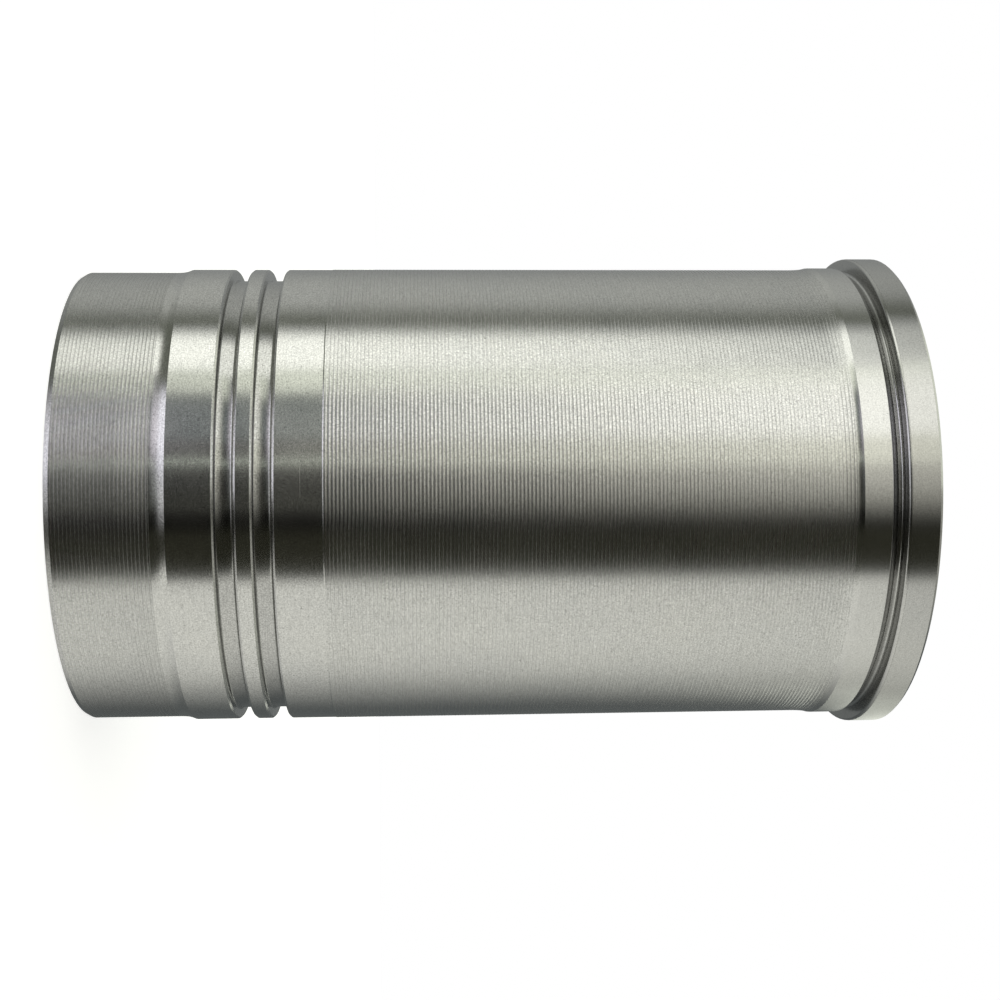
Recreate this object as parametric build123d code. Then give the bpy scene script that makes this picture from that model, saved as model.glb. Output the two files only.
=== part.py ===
from build123d import *

import os

# Wet cylinder liner of a heavy diesel engine: one iron casting, turned outside and honed inside.
# It stands on its skirt end. The bore runs along +Z, the flange is at the top and the origin is
# on the bore axis at the level of the skirt end. Lengths are in millimetres. Each outline is half
# a section, drawn as (radius, height) and turned about the bore axis.

# ---- Driving sizes ----
BORE_DIAMETER = 115.0
WALL = 7.5                      # bore to the rough-turned body
TOTAL_LENGTH = 226.5

# Flange that hangs the liner in the block, at the top
FLANGE_THICKNESS = 8.9
FLANGE_OVERHANG = 3.2           # beyond the body's radius
FLANGE_EDGE_BREAK = 0.8         # chamfer above, rounding below

# Undercut below the flange, so that the seat can be faced right into the corner
UNDERCUT_WIDTH = 3.4
UNDERCUT_DEPTH = 1.9            # below the pilot land
UNDERCUT_FILLET = 1.2

# Ground pilot land that centres the top of the liner in the block
PILOT_LENGTH = 7.4
PILOT_RISE = 0.55               # beyond the body's radius
PILOT_RAMP = 2.0                # length of the slope up from the body
PILOT_EDGE_BREAK = 0.15

# Ground lands with the O-ring grooves, which close the coolant jacket at the bottom
SEAL_CLEARANCE = 0.1            # seal lands lie this much below the body
SEAL_STEP_LENGTH = 0.3          # slope between the last land and the body
LEAD_LAND = 11.5
GROOVE_LAND = 3.6               # between the two grooves
BACK_LAND = 12.4
O_RING_CORD = 4.0
GROOVE_DEPTH = 0.8 * O_RING_CORD
GROOVE_FLOOR = 1.25 * O_RING_CORD
GROOVE_LEAD = 0.5               # length of the bevelled lip at each side
GROOVE_LIP_DROP = 0.45          # depth of that lip
GROOVE_CORNER = 0.8             # bevel that the tool's nose leaves at the floor

# Skirt below the lands, relieved so that the O-rings pass into the block without rubbing
SKIRT_LENGTH = 26.0
SKIRT_RELIEF = 0.95             # below the body's radius
SKIRT_RAMP = 4.0                # hollow-ground rise to the first land
SKIRT_CHAMFER_LENGTH = 1.4
SKIRT_CHAMFER_DEPTH = 0.8

# Mouths of the bore
TOP_MOUTH_LENGTH = 1.2
TOP_MOUTH_DEPTH = 0.6
SKIRT_MOUTH_LENGTH = 3.0
SKIRT_MOUTH_DEPTH = 1.5

# ---- Radii ----
bore_radius = BORE_DIAMETER / 2
body_radius = bore_radius + WALL
flange_radius = body_radius + FLANGE_OVERHANG
pilot_radius = body_radius + PILOT_RISE
undercut_radius = pilot_radius - UNDERCUT_DEPTH
seal_radius = body_radius - SEAL_CLEARANCE
groove_radius = seal_radius - GROOVE_DEPTH
skirt_radius = body_radius - SKIRT_RELIEF

# ---- Heights ----
groove_mouth = GROOVE_FLOOR + 2 * GROOVE_LEAD
seal_start = SKIRT_LENGTH + SKIRT_RAMP
lower_groove = seal_start + LEAD_LAND
upper_groove = lower_groove + groove_mouth + GROOVE_LAND
seal_end = upper_groove + groove_mouth + BACK_LAND
seat_height = TOTAL_LENGTH - FLANGE_THICKNESS
undercut_start = seat_height - UNDERCUT_WIDTH
pilot_start = undercut_start - PILOT_LENGTH


def turned(outline):
    """Solid swept by a closed half section about the bore axis."""
    return revolve(Plane.XZ * make_face(outline), Axis.Z)


def blank():
    """Outside of the liner, without the grooves and without the bore."""
    skirt = Polyline(
        (0, 0),
        (skirt_radius - SKIRT_CHAMFER_DEPTH, 0),
        (skirt_radius, SKIRT_CHAMFER_LENGTH),
        (skirt_radius, SKIRT_LENGTH),
    )
    hollow_rise = TangentArc(
        (skirt_radius, SKIRT_LENGTH),
        (seal_radius, seal_start),
        tangent=(0, 1),
    )
    lands = Polyline(
        (seal_radius, seal_start),
        (seal_radius, seal_end - SEAL_STEP_LENGTH),
        (body_radius, seal_end),
        (body_radius, pilot_start - PILOT_RAMP),
        (pilot_radius, pilot_start),
        (pilot_radius, seat_height),
        (flange_radius - FLANGE_EDGE_BREAK, seat_height),
    )
    seat_edge = TangentArc(
        (flange_radius - FLANGE_EDGE_BREAK, seat_height),
        (flange_radius, seat_height + FLANGE_EDGE_BREAK),
        tangent=(1, 0),
    )
    top = Polyline(
        (flange_radius, seat_height + FLANGE_EDGE_BREAK),
        (flange_radius, TOTAL_LENGTH - FLANGE_EDGE_BREAK),
        (flange_radius - FLANGE_EDGE_BREAK, TOTAL_LENGTH),
        (0, TOTAL_LENGTH),
        (0, 0),
    )
    return turned(skirt + hollow_rise + lands + seat_edge + top)


def o_ring_groove(start):
    """Ring of metal turned away for one O-ring, from the height where its mouth starts."""
    end = start + groove_mouth
    floor_start = start + GROOVE_LEAD
    floor_end = end - GROOVE_LEAD
    lip_radius = seal_radius - GROOVE_LIP_DROP
    corner_radius = groove_radius + GROOVE_CORNER
    outside = body_radius + FLANGE_OVERHANG
    outline = Polyline(
        (outside, start),
        (seal_radius, start),
        (lip_radius, floor_start),
        (corner_radius, floor_start),
        (groove_radius, floor_start + GROOVE_CORNER),
        (groove_radius, floor_end - GROOVE_CORNER),
        (corner_radius, floor_end),
        (lip_radius, floor_end),
        (seal_radius, end),
        (outside, end),
        (outside, start),
    )
    return turned(outline)


def undercut():
    """Relief turned into the corner between the pilot land and the flange seat."""
    lip = undercut_start + PILOT_EDGE_BREAK
    slope_end = lip + UNDERCUT_DEPTH
    corner_start = seat_height - UNDERCUT_FILLET
    lead_in = Polyline(
        (pilot_radius, undercut_start),
        (pilot_radius - PILOT_EDGE_BREAK / 2, lip),
        (undercut_radius, slope_end),
        (undercut_radius, corner_start),
    )
    corner = TangentArc(
        (undercut_radius, corner_start),
        (undercut_radius + UNDERCUT_FILLET, seat_height),
        tangent=(0, 1),
    )
    outside = Polyline(
        (undercut_radius + UNDERCUT_FILLET, seat_height),
        (pilot_radius + UNDERCUT_FILLET, seat_height),
        (pilot_radius + UNDERCUT_FILLET, undercut_start),
        (pilot_radius, undercut_start),
    )
    return turned(lead_in + corner + outside)


def bore():
    """Honed bore with a lead at each mouth."""
    outline = Polyline(
        (0, 0),
        (bore_radius + SKIRT_MOUTH_DEPTH, 0),
        (bore_radius, SKIRT_MOUTH_LENGTH),
        (bore_radius, TOTAL_LENGTH - TOP_MOUTH_LENGTH),
        (bore_radius + TOP_MOUTH_DEPTH, TOTAL_LENGTH),
        (0, TOTAL_LENGTH),
        (0, 0),
    )
    return turned(outline)


def liner():
    """The whole casting after turning, grinding and honing."""
    body = blank()
    for start in (lower_groove, upper_groove):
        body -= o_ring_groove(start)
    body -= undercut()
    body -= bore()
    return body


os.makedirs("parts", exist_ok=True)
export_step(liner(), "parts/liner.step")
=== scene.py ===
import math
import random
from collections import namedtuple

import bpy
import numpy as np
from mathutils import Matrix, Vector


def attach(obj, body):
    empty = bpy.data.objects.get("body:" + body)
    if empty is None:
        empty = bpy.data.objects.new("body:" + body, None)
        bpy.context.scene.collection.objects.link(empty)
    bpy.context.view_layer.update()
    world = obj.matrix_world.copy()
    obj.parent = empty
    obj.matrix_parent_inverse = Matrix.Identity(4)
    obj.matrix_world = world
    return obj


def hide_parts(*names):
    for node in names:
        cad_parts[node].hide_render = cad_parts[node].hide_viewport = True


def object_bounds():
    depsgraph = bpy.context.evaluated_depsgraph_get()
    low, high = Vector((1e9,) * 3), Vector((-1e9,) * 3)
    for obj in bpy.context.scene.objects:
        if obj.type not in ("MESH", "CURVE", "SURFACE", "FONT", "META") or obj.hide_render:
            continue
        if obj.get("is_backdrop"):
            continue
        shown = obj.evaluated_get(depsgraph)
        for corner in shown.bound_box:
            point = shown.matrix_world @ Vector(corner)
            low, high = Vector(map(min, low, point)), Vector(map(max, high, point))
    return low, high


# Looks of the cylinder liner, in metres and in the row frame: bore along +Z, skirt end on z = 0.
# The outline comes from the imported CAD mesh. One lathe piece repeats it with more segments, with
# finely broken edges, and with the turning marks of the body and the skirt as real geometry.

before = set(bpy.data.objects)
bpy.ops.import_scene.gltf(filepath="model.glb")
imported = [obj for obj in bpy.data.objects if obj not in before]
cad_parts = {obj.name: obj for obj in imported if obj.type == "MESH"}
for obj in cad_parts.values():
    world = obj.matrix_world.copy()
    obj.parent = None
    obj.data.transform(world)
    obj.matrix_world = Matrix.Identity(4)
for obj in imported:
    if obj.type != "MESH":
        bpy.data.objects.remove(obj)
cad_low, cad_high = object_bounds()

MM = 0.001
MICRON = 1e-6
SAME = 0.1 * MICRON             # two sizes that differ by less are the same

# ---- Shape ----
SEGMENTS = 120                  # round the bore axis

# edges and arcs of the outline
EDGE_ROUND = 0.12 * MM          # broken edge at a turned corner
EDGE_SHARE = 0.3                # of a short wall that its broken edge may take
EDGE_STEPS = 3
SMOOTH_TURN = math.radians(12)  # a turn of the outline below this belongs to an arc
ARC_STEPS = 3                   # rings in place of one chord of an arc
ARC_BEND = math.radians(3)      # a chord that bends less than this stays as it is
ARC_CHORD = 0.25 * MM           # and so does a shorter one
BOX_MARGIN = 0.01 * MM          # kept free inside the CAD box

# turning marks
FEED = 0.983 * MM               # pitch of the marks
FEED_UNEVEN = 0.015             # how much one pitch differs from another
LAST_FEED = 0.4                 # least share of a pitch that is left for the last mark
MARK_DEPTH = 0.032 * MM         # of a full mark, cut inwards from the CAD surface
MARK_UNEVEN = 0.10              # spread of the marks' depth
MARK_DEEPEST = 1.3              # of a mark that is wider than the pitch, as a share of its neighbours'
MARK_RINGS = (0.0, 0.3, 0.64, 0.88)  # where the rings of one mark lie, as shares of its width
ROUGH_TURNED = 20 * MM          # an upright wall longer than this was left rough-turned
FIRST_BODY_MARK = 0.5 * MM      # above the seal step
FIRST_SKIRT_MARK = 0.6 * MM     # above the skirt's chamfer
SKIRT_MARKS = (0.70, 1.15)      # depth low on the skirt and near its top, as shares of a full mark
SKIRT_DEEPENS = (0.66, 0.76)    # where it grows, as shares of the skirt's height
BODY_MARKS = 1.02               # depth at the body's foot, as a share of a full mark
BODY_LIGHTENS = (0.10, 0.46, 1.3)  # share of the height where it begins to fall, how much, the power
BODY_LAST_DEPTH = 0.72          # depth of the last marks before the pilot ramp
BODY_LAST_MARKS = 4 * MM        # and the length that they take

# the body's last turns and the ramp up to the pilot land, from the foot of the CAD's ramp
SWELL_START = -3.8 * MM         # the body begins to swell
SWELL_END = 0.4 * MM            # the turning marks end, and the ramp proper begins
SWELL_SLOPE = math.tan(math.radians(5))
RAMP_END = 2.15 * MM
RAMP_STEPS = 5

# O-ring grooves
GROOVE_FLOOR = 2 * MM           # a recessed upright wall longer than this is a groove's floor
GROOVE_POINTS = 14              # at most, between the top of a groove's lower wall and its floor
WALL_DROP = 1 * MM              # least height of a groove's wall
LOWER_CORNER = 0.58 * MM        # radii of the groove's corners
UPPER_CORNER = 1.25 * MM
UPPER_LIP = 0.05 * MM           # how far the upper lip is drawn down into the groove
CORNER_STEPS = 8
FLOOR_TILTS = (math.radians(8), math.radians(-5))  # of the groove's floor, up at its lower end
FLOOR_STEPS = 6
RECESS = 0.65 * MM              # what lies this far inside the body's radius is in a groove or undercut
RISE_CLEAR = 5 * MM             # above the skirt: past the hollow-ground rise, below the first groove

# flange
FLANGE = 8.9 * MM               # thickness
UNDERCUT = 3 * MM               # the undercut's floor is less than this inside the body's radius
SEAT_RUN = 2 * MM               # a level wall longer than this outside is the flange's seat
SEAT_CORNER = 0.85 * MM         # radius between the undercut and the seat
RIM_ROUNDS = (                  # the rim's lower edge: radius, tilt from and to in degrees, steps
    (0.45 * MM, 90, 22, 7),
    (1.6 * MM, 22, 0, 4),
)

# One ring of the lathe mesh: radius, height, normals of the wall below and above it, and how strong
# the torn line of a turning mark is there.
Ring = namedtuple("Ring", "r z below above torn")


def cad_section(node):
    """Closed half section of a turned CAD node, as (radius, height) points in order, to a micron."""
    mesh = node.data
    spot = {}
    for v in mesh.vertices:
        if abs(v.co.y) < SAME and v.co.x > 0:
            spot[v.index] = (round(v.co.x, 6), round(v.co.z, 6))
    linked = {}
    for e in mesh.edges:
        a, b = (spot.get(i) for i in e.vertices)
        if a and b and a != b:
            linked.setdefault(a, set()).add(b)
            linked.setdefault(b, set()).add(a)
    start = min(linked, key=lambda p: (p[1], -p[0]))
    before, here = None, start
    loop = [start]
    while True:
        onward = [p for p in linked[here] if p != before]
        if before is None:
            onward.sort(key=lambda p: -p[1])
        before, here = here, onward[0]
        if here == start:
            return loop
        loop.append(here)


def unit(r, z):
    """The same direction with a length of 1."""
    size = math.hypot(r, z)
    return r / size, z / size


def wall_normal(a, b):
    """Outward normal of the wall from a to b, with metal on the left of the way up the outside."""
    return unit(b[1] - a[1], a[0] - b[0])


def turn_at(before, here, after):
    """Angle that the outline turns by at a point, positive at an outer corner."""
    n0, n1 = wall_normal(before, here), wall_normal(here, after)
    return math.atan2(n0[0] * n1[1] - n0[1] * n1[0], n0[0] * n1[0] + n0[1] * n1[1])


def softened(loop):
    """Rings of the outline, with its edges broken and its arcs refined."""
    count = len(loop)
    rings = []
    for i, here in enumerate(loop):
        before, after = loop[i - 1], loop[(i + 1) % count]
        turn = turn_at(before, here, after)
        n0, n1 = wall_normal(before, here), wall_normal(here, after)
        l0, l1 = math.dist(before, here), math.dist(here, after)
        if abs(turn) < SMOOTH_TURN:
            n = unit(n0[0] * l0 + n1[0] * l1, n0[1] * l0 + n1[1] * l1)
            rings.append(Ring(*here, n, n, 0.0))
        elif turn > 0:
            cut = min(EDGE_ROUND * math.tan(turn / 2), EDGE_SHARE * l0, EDGE_SHARE * l1)
            a = tuple(here[k] + (before[k] - here[k]) * cut / l0 for k in range(2))
            b = tuple(here[k] + (after[k] - here[k]) * cut / l1 for k in range(2))
            for s in range(EDGE_STEPS + 1):
                t = s / EDGE_STEPS
                n = unit(n0[0] * (1 - t) + n1[0] * t, n0[1] * (1 - t) + n1[1] * t)
                p = [(1 - t) ** 2 * a[k] + 2 * t * (1 - t) * here[k] + t * t * b[k] for k in range(2)]
                rings.append(Ring(*p, n, n, 0.0))
        else:
            rings.append(Ring(*here, n0, n1, 0.0))
    return refined(rings)


def refined(rings):
    """Adds rings inside each chord whose two ends have different normals, on a smooth curve."""
    made = []
    for i, ring in enumerate(rings):
        made.append(ring)
        after = rings[(i + 1) % len(rings)]
        n0, n1 = ring.above, after.below
        bend = math.acos(min(1.0, n0[0] * n1[0] + n0[1] * n1[1]))
        chord = math.dist(ring[:2], after[:2])
        if bend < ARC_BEND or chord < ARC_CHORD:
            continue
        t0, t1 = (-n0[1], n0[0]), (-n1[1], n1[0])
        for s in range(1, ARC_STEPS):
            t = s / ARC_STEPS
            h = (2 * t**3 - 3 * t**2 + 1, t**3 - 2 * t**2 + t, -2 * t**3 + 3 * t**2, t**3 - t**2)
            p = [
                h[0] * ring[k] + h[1] * chord * t0[k] + h[2] * after[k] + h[3] * chord * t1[k]
                for k in range(2)
            ]
            n = unit(n0[0] * (1 - t) + n1[0] * t, n0[1] * (1 - t) + n1[1] * t)
            made.append(Ring(*p, n, n, 0.0))
    return made


def turning_marks(radius, low, high, first, strength, swell):
    """Rings of the marks between two heights.

    strength(height) is the depth as a share of a full mark. swell(height) is how far the wall has
    risen above the radius, and its slope.
    """
    crests = [low]
    z = low + first
    while z < high - LAST_FEED * FEED:
        crests.append(z)
        z += FEED * draw.uniform(1 - FEED_UNEVEN, 1 + FEED_UNEVEN)
    crests.append(high)
    rings = []
    last_slope = None
    for a, b in zip(crests, crests[1:]):
        width = b - a
        share = strength((a + b) / 2) * draw.gauss(1, MARK_UNEVEN)
        depth = MARK_DEPTH * share * min(MARK_DEEPEST, (width / FEED) ** 2)
        for t in MARK_RINGS:
            rise, slope = swell(a + t * width)
            above = unit(1, 4 * depth * (1 - 2 * t) / width - slope)
            below = above if t or last_slope is None else unit(1, last_slope - slope)
            torn = share if t == MARK_RINGS[-1] else 0.0
            r = radius + rise - 4 * depth * t * (1 - t)
            rings.append(Ring(r, a + t * width, below, above, torn))
        last_slope = -4 * depth / width
    return rings


def hollow(centre, radius, first, last):
    """Points of a hollow corner, from one tilt of its wall to another."""
    tilts = [first + (last - first) * s / CORNER_STEPS for s in range(CORNER_STEPS + 1)]
    return [(centre[0] - radius * math.cos(t), centre[1] - radius * math.sin(t)) for t in tilts]


def groove_inside(floor_r, low, high):
    """Points of a groove between its two walls: lower corner, dished floor and upper corner."""
    lead, rear = FLOOR_TILTS
    z0 = low + LOWER_CORNER * (1 - math.sin(lead))
    z1 = high - UPPER_CORNER * (1 + math.sin(rear))
    floor = []
    r = 0.0
    for s in range(FLOOR_STEPS + 1):
        floor.append((r, z0 + (z1 - z0) * s / FLOOR_STEPS))
        r -= math.tan(lead + (rear - lead) * (s + 0.5) / FLOOR_STEPS) * (z1 - z0) / FLOOR_STEPS
    lift = floor_r - min(r for r, _ in floor)
    floor = [(r + lift, z) for r, z in floor]
    lower_centre = (floor[0][0] + LOWER_CORNER * math.cos(lead), low + LOWER_CORNER)
    upper_centre = (floor[-1][0] + UPPER_CORNER * math.cos(rear), high - UPPER_CORNER)
    lower = hollow(lower_centre, LOWER_CORNER, math.pi / 2, lead)
    upper = hollow(upper_centre, UPPER_CORNER, rear, -math.pi / 2)
    return lower[:-1] + floor + upper[1:]


def groove_at(section, i):
    """Indexes of a groove's floor and of its upper wall, if its lower wall ends at point i."""
    if i == 0 or section[i - 1][0] > body_r:
        return None
    level = abs(section[i - 1][1] - section[i][1]) < SAME
    if not level or section[i - 1][0] - section[i][0] <= WALL_DROP:
        return None
    for k in range(i + 1, min(i + GROOVE_POINTS, len(section) - 1)):
        upright = abs(section[k][0] - section[k + 1][0]) < SAME
        if upright and section[k + 1][1] - section[k][1] > GROOVE_FLOOR:
            rest = range(k, len(section))
            return k, next(j for j in rest if section[j + 1][0] - section[j][0] > WALL_DROP)
    return None


def dished(section):
    """The outline with each groove as it was ground: a slightly dished floor, and uneven corners."""
    made = []
    i = 0
    while i < len(section):
        groove = groove_at(section, i)
        if groove is None:
            made.append(section[i])
            i += 1
            continue
        floor, wall = groove
        high = section[wall][1] - UPPER_LIP
        made.extend(groove_inside(section[floor][0], section[i][1], high))
        made.append((section[wall + 1][0], high))
        i = wall + 2
    return made


def seated(section):
    """The outline with the undercut's corner and the rim's lower edge as the photo has them."""
    k = next(
        i
        for i in range(len(section) - 1)
        if abs(section[i + 1][1] - section[i][1]) < SAME
        and section[i + 1][0] - section[i][0] > SEAT_RUN
    )
    first = last = k
    while section[first - 1][0] < section[first][0] - SAME:
        first -= 1
    while section[last + 1][0] > section[last][0] + SAME:
        last += 1
    floor, seat, rim = section[first][0], section[k][1], section[last][0]
    corner = hollow((floor + SEAT_CORNER, seat - SEAT_CORNER), SEAT_CORNER, 0.0, -math.pi / 2)
    edge = [(0.0, 0.0)]
    for radius, first_tilt, last_tilt, steps in RIM_ROUNDS:
        t0 = math.radians(first_tilt)
        r, z = edge[-1]
        for s in range(1, steps + 1):
            t = math.radians(first_tilt + (last_tilt - first_tilt) * s / steps)
            out, up = math.cos(t) - math.cos(t0), math.sin(t0) - math.sin(t)
            edge.append((r + radius * out, z + radius * up))
    edge = [(rim - edge[-1][0] + r, seat + z) for r, z in edge]
    return section[:first] + corner + edge + section[last + 1 :]


draw = random.Random(7)
section = cad_section(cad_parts["liner"])
cap_radius = min(-cad_low.x, cad_high.x, -cad_low.y, cad_high.y) - BOX_MARGIN
section = [(min(r, cap_radius), z) for r, z in section]
height = cad_high.z
seat_z = height - FLANGE
walls = [
    (r0, z0, z1)
    for (r0, z0), (r1, z1) in zip(section, section[1:])
    if abs(r0 - r1) < SAME and z1 - z0 > ROUGH_TURNED
]
(skirt_r, skirt_low, skirt_high), (body_r, body_low, body_high) = sorted(walls, key=lambda w: w[1])
section = seated(dished(section))
ramp = next(i for i, p in enumerate(section) if p == (body_r, body_high))
pilot_r = section[ramp + 1][0]
swell_low, ramp_high = body_high + SWELL_START, body_high + RAMP_END
body_high += SWELL_END


def body_swell(z):
    """Rise of the body above its radius towards the pilot land, and its slope."""
    run = max(0.0, z - swell_low)
    slope = SWELL_SLOPE * run / (body_high - swell_low)
    return slope * run / 2, slope


def no_swell(z):
    """The skirt stays straight."""
    return 0.0, 0.0


rise, slope = body_swell(body_high)
run = ramp_high - body_high
steepen = (pilot_r - body_r - rise - slope * run) / run**2
climb = [run * s / RAMP_STEPS for s in range(-1, RAMP_STEPS + 1)]
section[ramp : ramp + 2] = [(body_r + rise + slope * d + steepen * d * d, body_high + d) for d in climb]
undercut_r = min(r for r, z in section if z > body_high + MM and r > body_r - UNDERCUT)


def skirt_strength(z):
    """The skirt's marks are light, and deeper just below the hollow-ground rise."""
    t = (z - skirt_low) / (skirt_high - skirt_low)
    light, deep = SKIRT_MARKS
    first, last = SKIRT_DEEPENS
    return light + (deep - light) * min(1.0, max(0.0, (t - first) / (last - first)))


def body_strength(z):
    """The body's marks grow lighter towards the flange, all but the last few before the pilot land."""
    if z >= body_high - BODY_LAST_MARKS:
        return BODY_LAST_DEPTH
    t = (z - body_low) / (body_high - body_low)
    first, loss, power = BODY_LIGHTENS
    return BODY_MARKS - loss * max(0.0, t - first) ** power


# the first point of the climb only gives the ramp's foot its slope, so its ring is left out
ramp_foot = body_high - run
rings = []
for ring in softened(section):
    if ring.r > body_r and ramp_foot < ring.z < body_high - SAME:
        continue
    rings.append(ring)
    for low, r, high, first, strength, swell in (
        (skirt_low, skirt_r, skirt_high, FIRST_SKIRT_MARK, skirt_strength, no_swell),
        (body_low, body_r, body_high, FIRST_BODY_MARK, body_strength, body_swell),
    ):
        if abs(ring.r - r) < SAME and abs(ring.z - low) < 2 * EDGE_ROUND:
            rings.extend(turning_marks(r, ring.z, high, first, strength, swell)[1:])

# ---- Mesh ----
ring_r = np.array([ring.r for ring in rings])
ring_z = np.array([ring.z for ring in rings])
below = np.array([ring.below for ring in rings])
above = np.array([ring.above for ring in rings])
torn = np.array([ring.torn for ring in rings])
count = len(rings)
angle = np.arange(SEGMENTS) * 2 * math.pi / SEGMENTS
cos_a, sin_a = np.cos(angle), np.sin(angle)
points = np.stack(
    [np.outer(ring_r, cos_a), np.outer(ring_r, sin_a), np.repeat(ring_z[:, None], SEGMENTS, 1)], 2
).reshape(-1, 3)
k, j = np.meshgrid(np.arange(count), np.arange(SEGMENTS), indexing="ij")
k1, j1 = (k + 1) % count, (j + 1) % SEGMENTS
faces = np.stack(
    [k * SEGMENTS + j, k * SEGMENTS + j1, k1 * SEGMENTS + j1, k1 * SEGMENTS + j], 2
).reshape(-1, 4)

mesh = bpy.data.meshes.new("liner_turned")
mesh.from_pydata(points.tolist(), [], faces.tolist())
mesh.polygons.foreach_set("use_smooth", np.ones(len(faces), bool))


def normals_of(profile, ring, seg):
    """Normals of the outline, turned to each segment."""
    n = profile[ring]
    return np.stack([n[..., 0] * cos_a[seg], n[..., 0] * sin_a[seg], n[..., 1]], -1)


loop_normals = np.stack(
    [
        normals_of(above, k, j),
        normals_of(above, k, j1),
        normals_of(below, k1, j1),
        normals_of(below, k1, j),
    ],
    2,
).reshape(-1, 3)

# ---- Charts of the OFBake UV map ----
top_outer = int(np.argmax(ring_z > height - SAME))
top_inner = int(np.flatnonzero(ring_z > height - SAME)[-1])
bottom_inner = int(np.flatnonzero((ring_z < SAME) & (np.arange(count) > top_inner))[0])
CHARTS = (
    # rings from, to, u from, u to, v from, v to
    (0, top_outer, 0.004, 0.62, 0.004, 0.996),
    (top_outer, top_inner, 0.635, 0.996, 0.87, 0.925),
    (top_inner, bottom_inner, 0.635, 0.996, 0.004, 0.855),
    (bottom_inner, count, 0.635, 0.996, 0.94, 0.996),
)
strides = np.hypot(np.diff(ring_r, append=ring_r[0]), np.diff(ring_z, append=ring_z[0]))
walked = np.concatenate([[0], np.cumsum(strides)])
uv = np.zeros((count, SEGMENTS, 4, 2))
for first, last, u0, u1, v0, v1 in CHARTS:
    span = walked[last] - walked[first]
    v = v0 + (v1 - v0) * (walked[first : last + 1] - walked[first]) / span
    u = u0 + (u1 - u0) * np.arange(SEGMENTS + 1) / SEGMENTS
    for corner, (dk, dj) in enumerate(((0, 0), (0, 1), (1, 1), (1, 0))):
        uv[first:last, :, corner, 0] = u[None, dj : SEGMENTS + dj]
        uv[first:last, :, corner, 1] = v[dk : last - first + dk, None]
layer = mesh.uv_layers.new(name="OFBake")
layer.data.foreach_set("uv", uv.reshape(-1).astype(np.float32))

# ---- Which finish each band of faces has ----
FINISHES = {
    # name: roughness, spread, dull_and_shade, speckle, streak, grain, hatch, as iron() takes them;
    # dull_and_shade is the metal's own dullness, and in the grooves and the undercut it is also painted
    # shade that darkens these recesses
    "turned": (0.22, 0.50, 0.98, 1.3, 0.55, 5.0 * MICRON, 0.0),
    "ground": (0.20, 0.50, 1.00, 1.1, 0.55, 4.0 * MICRON, 0.0),
    "honed": (0.27, 0.20, 0.97, 0.5, 0.0, 2.0 * MICRON, 2.5 * MICRON),
    "faced": (0.24, 0.50, 0.98, 0.7, 0.4, 3.0 * MICRON, 0.0),
    # groove and relief: their low dull_and_shade darkens the grooves and the undercut as painted shade
    # in these recesses
    "groove": (0.19, 0.50, 0.80, 1.2, 0.7, 4.0 * MICRON, 0.0),
    "relief": (0.20, 0.50, 0.52, 0.9, 0.5, 4.0 * MICRON, 0.0),
    "skirt": (0.25, 0.66, 0.89, 1.3, 0.55, 5.0 * MICRON, 0.0),
}
slot_of = {name: i for i, name in enumerate(FINISHES)}
mid_z = (ring_z + np.roll(ring_z, -1)) / 2
index = np.arange(count)
outside = index < top_outer
recessed = outside & (np.minimum(ring_r, np.roll(ring_r, -1)) < body_r - RECESS)
finish_of = np.full(count, slot_of["ground"])
finish_of[outside & (mid_z < skirt_high)] = slot_of["skirt"]
finish_of[outside & (mid_z > body_low) & (mid_z < body_high)] = slot_of["turned"]
finish_of[recessed & (mid_z > skirt_high + RISE_CLEAR) & (mid_z < body_low)] = slot_of["groove"]
finish_of[recessed & (mid_z > body_high)] = slot_of["relief"]
finish_of[index >= top_outer] = slot_of["faced"]
finish_of[(index >= top_inner) & (index < bottom_inner)] = slot_of["honed"]
mesh.polygons.foreach_set("material_index", np.repeat(finish_of, SEGMENTS).astype(np.int32))
# about 1 along the torn line in front of each crest of the turning marks, 0 elsewhere
line = mesh.attributes.new("torn", "FLOAT", "POINT")
line.data.foreach_set("value", np.repeat(torn, SEGMENTS).astype(np.float32))
mesh.update()
mesh.normals_split_custom_set(loop_normals.tolist())
liner = bpy.data.objects.new("liner_turned", mesh)
bpy.context.scene.collection.objects.link(liner)


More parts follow.
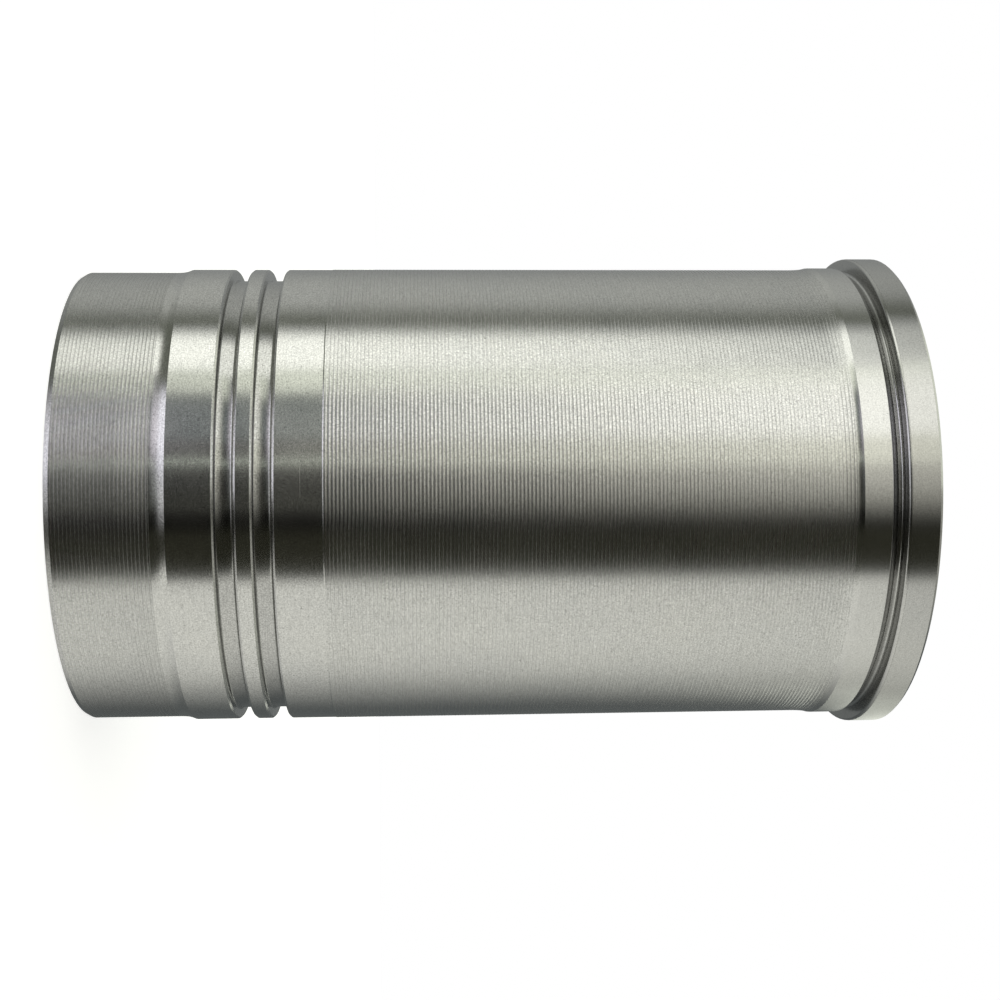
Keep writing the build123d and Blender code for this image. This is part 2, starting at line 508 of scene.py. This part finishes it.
# ---- Finish ----
class Nodes:
    """Short names for the nodes of one tree."""

    def __init__(self, tree):
        self.tree = tree
        tree.nodes.clear()

    def add(self, kind, **inputs):
        """A node with its properties and input sockets set by name."""
        node = self.tree.nodes.new(kind)
        for name, value in inputs.items():
            if hasattr(node, name) and name not in node.inputs:
                setattr(node, name, value)
            else:
                self.feed(node.inputs[name], value)
        return node

    def feed(self, socket, value):
        """Sets a socket's value, or links another node's output to it."""
        if isinstance(value, bpy.types.NodeSocket):
            self.tree.links.new(value, socket)
        else:
            socket.default_value = value

    def math(self, operation, a, b=0.0, c=0.0):
        """The result of a Math node."""
        node = self.tree.nodes.new("ShaderNodeMath")
        node.operation = operation
        for socket, value in zip(node.inputs, (a, b, c)):
            self.feed(socket, value)
        return node.outputs[0]

    def step(self, value, low, high):
        """Rises smoothly from 0 at low to 1 at high, which may be the smaller one."""
        node = self.tree.nodes.new("ShaderNodeMapRange")
        node.interpolation_type = "SMOOTHSTEP"
        self.feed(node.inputs["Value"], value)
        if low < high:
            ends = (low, high, 0.0, 1.0)
        else:
            ends = (high, low, 1.0, 0.0)
        for name, end in zip(("From Min", "From Max", "To Min", "To Max"), ends):
            node.inputs[name].default_value = end
        return node.outputs[0]

    def band(self, value, low, high, soft_low, soft_high):
        """1 between low and high, with both edges softened by so much each way."""
        rise = self.step(value, low - soft_low, low + soft_low)
        return self.math("MULTIPLY", rise, self.step(value, high + soft_high, high - soft_high))

    def varied(self, value, amount, centre=0.0):
        """A noise value, scaled to run over this amount about a centre."""
        return self.math("MULTIPLY_ADD", value, amount, centre - amount / 2)

    def azimuth(self, x, y):
        """Degrees round the bore axis: 0 towards the camera's side (-Y), and 90 towards -X."""
        x, y = self.math("MULTIPLY", x, -1.0), self.math("MULTIPLY", y, -1.0)
        return self.math("DEGREES", self.math("ARCTAN2", x, y))

    def noise(self, vector, scale, detail, roughness):
        """A noise from 0 to 1."""
        node = self.tree.nodes.new("ShaderNodeTexNoise")
        self.feed(node.inputs["Vector"], vector)
        node.inputs["Scale"].default_value = scale
        node.inputs["Detail"].default_value = detail
        node.inputs["Roughness"].default_value = roughness
        return node.outputs["Fac"]

    def stretch(self, vector, x, y, z):
        """A vector scaled along each axis."""
        node = self.tree.nodes.new("ShaderNodeMapping")
        self.feed(node.inputs["Vector"], vector)
        node.inputs["Scale"].default_value = (x, y, z)
        return node.outputs[0]


def mix_colour(nodes, share, a, b):
    """Colour a, and b where share is 1. The colour sockets of a Mix node are the third pair."""
    node = nodes.tree.nodes.new("ShaderNodeMix")
    node.data_type = "RGBA"
    nodes.feed(node.inputs[0], share)
    nodes.feed(node.inputs[6], a)
    nodes.feed(node.inputs[7], b)
    return node.outputs[2]


def grey(value):
    """An even grey."""
    return (value, value, value, 1.0)


IRON = 0.575                    # reflectance of clean machined iron
TINTS = ((1.0, 1.003, 0.985), (1.005, 1.0, 0.96))  # the metal's colour wanders between these
# noise: scale per metre, detail, roughness
FINE = (2600, 2.0, 0.6)
PATCHES = (60, 3.0, 0.55)
STREAKS = (5200, 3.0, 0.7)
PORES = (1700, 2.0, 0.5)
STREAK_STRETCH = (0.06, 0.06, 1.0)
PATCH_TONE = 0.10               # how much the tone varies from patch to patch
PATCH_ROUGH = 0.06              # and the roughness
PORE_EDGE = (0.36, 0.30)        # a pore is where its noise falls below these
PORE_TONE = 0.25                # how much darker a pore is
FINER_ABOVE = 0.45              # how much less the tone varies on the pilot land and the flange
TORN_TONE = 0.10                # how much darker the torn line of a mark is
TORN_ROUGH = 0.15               # and how much rougher
TORN_SHARE = (0.8, 0.6)         # its strength, from the streaks: times the first, plus the second
RIM_TONE = 0.14                 # how much darker the flange's rim is
RIM_FADE = 0.3 * MM             # the rim's tone begins over this much, each way from the seat
CORNER_SHADE_LIFT = 0.75              # how much of the undercut's painted shade is lifted again at the corner under the seat
CORNER_BELOW = (1.0 * MM, 0.7 * MM)  # it begins this far below the seat
CORNER_FROM = (0.03 * MM, 0.15 * MM)  # and this far out from the undercut's floor
CORNER_TO = (1.1 * MM, 0.7 * MM)  # and ends this far out
HATCH_TWIST = 34.8              # radians of turn per metre of the bore, each way
HATCH_STRETCH = 0.03

# Fine scratches across the outside, with a painted glint along each bright one: height and turn where
# each starts and ends (mm, degrees from the camera's side towards -X), and how much brighter it is than
# the metal round it.
SCRATCHES_AND_GLINTS = (
    (63.6, 6.5, 63.7, -1.5, 0.85),
    (28.6, -4.9, 30.2, -6.2, 0.80),
    (51.6, -8.0, 52.2, -9.6, 0.90),
    (71.9, -10.3, 72.5, -12.6, 0.75),
    (131.5, -2.2, 135.0, -3.4, 0.60),
    (199.4, -40.6, 199.9, -41.2, -0.60),
)
SCRATCH_WIDTH = 0.14 * MM
SCRATCH_FADE = 0.15             # share of its length over which an end fades


def scratched_and_glinting(n, x, y, z, level):
    """The tone with each scratch and its painted glint added along its own slanted line."""
    turn = n.azimuth(x, y)
    for z0, turn0, z1, turn1, bright in SCRATCHES_AND_GLINTS:
        along = n.math("MULTIPLY_ADD", turn, 1 / (turn1 - turn0), -turn0 / (turn1 - turn0))
        off = n.math("SUBTRACT", z, n.math("MULTIPLY_ADD", along, (z1 - z0) * MM, z0 * MM))
        mask = n.step(n.math("ABSOLUTE", off), SCRATCH_WIDTH, 0.0)
        from_middle = n.math("ABSOLUTE", n.math("SUBTRACT", along, 0.5))
        mask = n.math("MULTIPLY", mask, n.step(from_middle, 0.5, 0.5 - SCRATCH_FADE))
        # painted glint: the scratch's brightness is added to the metal's tone
        level = n.math("MULTIPLY_ADD", mask, bright, level)
    return level


def iron(name, rough, spread, dull_and_shade, speckle, streak, grain, hatch):
    """Bright machined iron.

    spread is the anisotropy along the cut. speckle and streak are how much the tone varies from spot
    to spot and along the cut. grain and hatch are bump heights in metres.
    """
    material = bpy.data.materials.new(name + "_iron")
    material.use_nodes = True
    n = Nodes(material.node_tree)
    place = n.add("ShaderNodeTexCoord").outputs["Object"]
    split = n.add("ShaderNodeSeparateXYZ", Vector=place)
    x, y, z = split.outputs
    fine = n.noise(place, *FINE)
    broad = n.noise(place, *PATCHES)
    around = n.noise(n.stretch(place, *STREAK_STRETCH), *STREAKS)
    pores = n.noise(place, *PORES)

    # tone: a fine speckle, faint streaks along the cut, broad wiped patches and pores
    tone = n.varied(fine, speckle)
    tone = n.math("ADD", tone, n.varied(around, streak))
    tone = n.math("ADD", tone, n.varied(broad, PATCH_TONE))
    tone = n.math("SUBTRACT", tone, n.math("MULTIPLY", n.step(pores, *PORE_EDGE), PORE_TONE))
    if name == "ground":
        # the pilot land and the flange were ground finer than the lands by the grooves
        above = n.step(z, body_high, body_high + MM)
        tone = n.math("MULTIPLY", tone, n.math("MULTIPLY_ADD", above, -FINER_ABOVE, 1.0))
    level = n.math("ADD", tone, 1.0)
    roughness = n.varied(broad, PATCH_ROUGH, rough)
    if name in ("turned", "ground", "groove"):
        level = scratched_and_glinting(n, x, y, z, level)
    if name in ("turned", "skirt"):
        line = n.add("ShaderNodeAttribute", attribute_name="torn").outputs["Fac"]
        line = n.math("MULTIPLY", line, n.math("MULTIPLY_ADD", around, *TORN_SHARE))
        level = n.math("MULTIPLY", level, n.math("MULTIPLY_ADD", line, -TORN_TONE, 1.0))
        roughness = n.math("MULTIPLY_ADD", line, TORN_ROUGH, roughness)
    if name == "ground":
        rim = n.step(z, seat_z - RIM_FADE, seat_z + RIM_FADE)
        level = n.math("MULTIPLY", level, n.math("MULTIPLY_ADD", rim, -RIM_TONE, 1.0))
    if name == "relief":
        # painted shade darkens the undercut, and is lifted again at the corner under the seat, nearly
        # to the bright metal's tone
        radius = n.math("SQRT", n.math("ADD", n.math("MULTIPLY", x, x), n.math("MULTIPLY", y, y)))
        corner = n.math(
            "MULTIPLY",
            n.step(radius, *(undercut_r + a for a in CORNER_FROM)),
            n.step(radius, *(undercut_r + a for a in CORNER_TO)),
        )
        corner = n.math("MULTIPLY", corner, n.step(z, *(seat_z - a for a in CORNER_BELOW)))
        level = n.math("MULTIPLY", level, n.math("MULTIPLY_ADD", corner, CORNER_SHADE_LIFT, 1.0))
    # dull_and_shade scales the metal's colour; where it is low, in the grooves and the undercut, it is
    # painted shade
    tints = [(*(IRON * dull_and_shade * share for share in tint), 1.0) for tint in TINTS]
    tint = mix_colour(n, broad, *tints)
    scaled = n.add("ShaderNodeVectorMath", operation="SCALE")
    n.feed(scaled.inputs[0], tint)
    n.feed(scaled.inputs["Scale"], level)

    # relief: grain and the fine scores of the cut, in metres
    relief = n.math("MULTIPLY", fine, grain)
    if hatch:
        for twist in (-HATCH_TWIST, HATCH_TWIST):
            turn = n.math("MULTIPLY", z, twist)
            c, s = n.math("COSINE", turn), n.math("SINE", turn)
            u = n.math("SUBTRACT", n.math("MULTIPLY", x, c), n.math("MULTIPLY", y, s))
            v = n.math("ADD", n.math("MULTIPLY", x, s), n.math("MULTIPLY", y, c))
            helix = n.add("ShaderNodeCombineXYZ", X=u, Y=v, Z=n.math("MULTIPLY", z, HATCH_STRETCH))
            scores = n.noise(helix.outputs[0], *FINE)
            relief = n.math("ADD", relief, n.math("MULTIPLY", scores, hatch))
    bump = n.add("ShaderNodeBump", Height=relief, Strength=1.0, Distance=1.0)

    shader = n.add("ShaderNodeBsdfPrincipled", Roughness=roughness, Normal=bump.outputs[0])
    n.feed(shader.inputs["Base Color"], scaled.outputs[0])
    shader.inputs["Metallic"].default_value = 1.0
    shader.inputs["Anisotropic"].default_value = spread
    shader.inputs["Anisotropic Rotation"].default_value = 0.25  # a quarter turn, so round the axis
    tangent = n.add("ShaderNodeTangent", direction_type="RADIAL", axis="Z")
    n.feed(shader.inputs["Tangent"], tangent.outputs[0])
    out = n.add("ShaderNodeOutputMaterial")
    n.feed(out.inputs["Surface"], shader.outputs[0])
    return material


for name, values in FINISHES.items():
    mesh.materials.append(iron(name, *values))
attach(liner, "root")
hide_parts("liner")

# ---- Floor ----
FLOOR_SIZE = 6.0
FLOOR_PAINT = 0.82
FLOOR_LIFT = 0.66               # brings the lit floor up to white for the camera, and keeps the shadow
bpy.ops.mesh.primitive_plane_add(size=FLOOR_SIZE, location=(0, 0, 0))
floor = bpy.context.object
floor.name = "floor"
paint = bpy.data.materials.new("floor_paint")
paint.use_nodes = True
n = Nodes(paint.node_tree)
rays = n.add("ShaderNodeLightPath")
diffuse = n.add("ShaderNodeBsdfDiffuse", Color=grey(FLOOR_PAINT))
to_camera = n.math("MULTIPLY", rays.outputs["Is Camera Ray"], FLOOR_LIFT)
lift = n.add("ShaderNodeEmission", Color=grey(1.0), Strength=to_camera)
both = n.add("ShaderNodeAddShader")
n.feed(both.inputs[0], diffuse.outputs[0])
n.feed(both.inputs[1], lift.outputs[0])
out = n.add("ShaderNodeOutputMaterial")
n.feed(out.inputs["Surface"], both.outputs[0])
floor.data.materials.append(paint)
floor.visible_glossy = False
floor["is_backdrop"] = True

# ---- Studio: what the metal sees, by direction ----
# Azimuth 0 is towards the camera's side (-Y) and 90 towards -X, elevation is above the horizon, both
# in degrees. Each card is its name, azimuth from and to, the softness of those two edges, elevation
# from and to, the softness of those two, and its colour. A later card covers an earlier one.
CARDS = (
    ("overhead", -200, 200, 5, 5, 40, 120, 14, 5, (0.42, 0.42, 0.38)),
    ("overhead, far side", 83.4, 200, 16, 5, 42.8, 120, 8, 5, (1.06, 1.09, 0.95)),
    ("overhead, lit", 24.6, 65.2, 20.5, 13.8, 44.1, 120, 6, 5, (1.01, 1.03, 1)),
    ("underfoot", -200, 200, 5, 5, -120, -61.3, 5, 8, (0, 0, 0)),
    ("under the part", -172, -104.7, 6, 4, -50, 51.1, 8, 12, (0.11, 0.12, 0.12)),
    ("end of the table", -123.9, -76.6, 19.1, 21, 13.1, 71.7, 8, 8, (0.52, 0.53, 0.47)),
    ("light past the far end", -175, -118, 6, 9, 16.2, 19.2, 1, 1, (1.1, 1.13, 1.01)),
    ("white table", -110.1, -41.8, 33.5, 0.8, -65.2, 24.5, 8, 8, (0.93, 0.93, 0.87)),
    ("shade under the table", -167.6, -81.9, 0.8, 6, -95.5, -35.4, 8, 8, (0.78, 0.78, 0.75)),
    ("far fill", 90.6, 140.7, 3.4, 23, -32.7, 21.4, 10, 10, (0.55, 0.56, 0.53)),
    ("gap behind the softbox", 91.2, 101.9, 0.8, 11, -59, 33.3, 10, 10, (0.11, 0.12, 0.09)),
    ("softbox", 63.5, 86.1, 0.8, 4.8, -39.6, 16.2, 12, 14, (1.64, 1.66, 1.55)),
    ("softbox edge", 47.5, 63.5, 5.1, 0.8, -12.2, 48.7, 8, 8, (1.12, 1.17, 1)),
    ("low dark side", 52.8, 116.2, 1.5, 19, -54.7, -22.5, 8, 6, (0.15, 0.16, 0.13)),
    ("low dark side, under", 62.9, 91.6, 12, 1.3, -120, -59, 8, 6, (1.17, 1.15, 1.23)),
    ("front room", -7.5, 49, 6.8, 4.1, -17, 39.9, 8, 8, (0, 0, 0)),
    ("grey wall", 26.4, 48.5, 1.5, 4.4, -42.8, 46.2, 8, 8, (0.06, 0.09, 0.09)),
    ("flag", -41.6, -2.5, 5.1, 10, -120, 77.5, 8, 8, (0.03, 0.03, 0.02)),
    ("flag core", -18.2, -7.9, 3, 1, -120, 76, 8, 8, (0, 0, 0)),
    ("gap by the strip", 14.5, 25.6, 0.8, 1, -35.1, 6.1, 8, 8, (0, 0, 0)),
    ("strip", 15, 16.6, 0.8, 0.8, -30.4, 9.7, 8, 8, (1.03, 1.13, 0.97)),
    ("high window, near part", -5.3, 36.1, 13.7, 9.4, 3.9, 63.4, 5, 8, (0.72, 0.71, 0.64)),
    ("high window, middle", 12.5, 52.4, 2.5, 7, 0.7, 43.8, 5, 8, (1.15, 1.15, 1.01)),
    ("high window", 26.4, 61.1, 2.8, 16.1, 4.3, 26.3, 5, 8, (1.64, 1.64, 1.56)),
    ("low glow", 19.3, 50.7, 11.4, 13.2, -59, -14.6, 8, 5, (1.02, 0.97, 1.06)),
    ("low window", 13.5, 62.5, 26, 4.6, -120, -36.3, 8, 8, (1.5, 1.49, 1.64)),
    ("low window, near end", -6.3, 0.7, 19, 14.5, -120, -39.7, 8, 8, (1.57, 1.57, 1.61)),
)
ROOM = (0.272, 0.282, 0.277)    # behind the cards

world = bpy.data.worlds.new("studio")
bpy.context.scene.world = world
world.use_nodes = True
n = Nodes(world.node_tree)
way = n.add("ShaderNodeSeparateXYZ", Vector=n.add("ShaderNodeTexCoord").outputs["Generated"])
azimuth = n.azimuth(way.outputs[0], way.outputs[1])
elevation = n.math("DEGREES", n.math("ARCSINE", way.outputs[2]))
seen = (*ROOM, 1.0)
for _, az0, az1, s0, s1, el0, el1, t0, t1, colour in CARDS:
    mask = n.band(azimuth, az0, az1, s0, s1)
    mask = n.math("MULTIPLY", mask, n.band(elevation, el0, el1, t0, t1))
    seen = mix_colour(n, mask, seen, (*colour, 1.0))
rays = n.add("ShaderNodeLightPath")
seen = mix_colour(n, rays.outputs["Is Camera Ray"], seen, grey(1.0))
background = n.add("ShaderNodeBackground", Color=seen, Strength=1.0)
out = n.add("ShaderNodeOutputWorld")
n.feed(out.inputs["Surface"], background.outputs[0])

# ---- Camera ----
# The liner lies across the picture, so the camera is turned on its side: the bore axis runs to the
# right. Angles are first given with the picture's right as +X and its top as +Z.
FOCAL_PIXELS = 1480.7
PICTURE = 1000                  # pixels across
SENSOR = 36.0                   # millimetres across
NEAREST = 10 * MM
CAMERA_DISTANCE = 436.90 * MM
CAMERA_HEIGHT = 92.67 * MM
YAW, PITCH, ROLL = (math.radians(a) for a in (3.239, -0.293, -0.406))
forward = Vector((math.sin(YAW) * math.cos(PITCH), math.cos(YAW) * math.cos(PITCH), math.sin(PITCH)))
level_right = Vector((math.cos(YAW), -math.sin(YAW), 0))
level_up = level_right.cross(forward)
right = level_right * math.cos(ROLL) + level_up * math.sin(ROLL)
up = level_up * math.cos(ROLL) - level_right * math.sin(ROLL)


def on_its_side(v):
    """A direction in the picture's axes, in the row frame: right is +Z and up is -X."""
    return Vector((-v.z, v.y, v.x))


lens = bpy.data.cameras.new("camera")
lens.sensor_width = SENSOR
lens.lens = FOCAL_PIXELS * SENSOR / PICTURE
lens.clip_start = NEAREST
camera = bpy.data.objects.new("camera", lens)
bpy.context.scene.collection.objects.link(camera)
axes = Matrix([on_its_side(v) for v in (right, up, -forward)]).transposed().to_4x4()
camera.matrix_world = Matrix.Translation((0, -CAMERA_DISTANCE, CAMERA_HEIGHT)) @ axes
bpy.context.scene.camera = camera
bpy.context.scene.view_settings.view_transform = "Standard"

low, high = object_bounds()
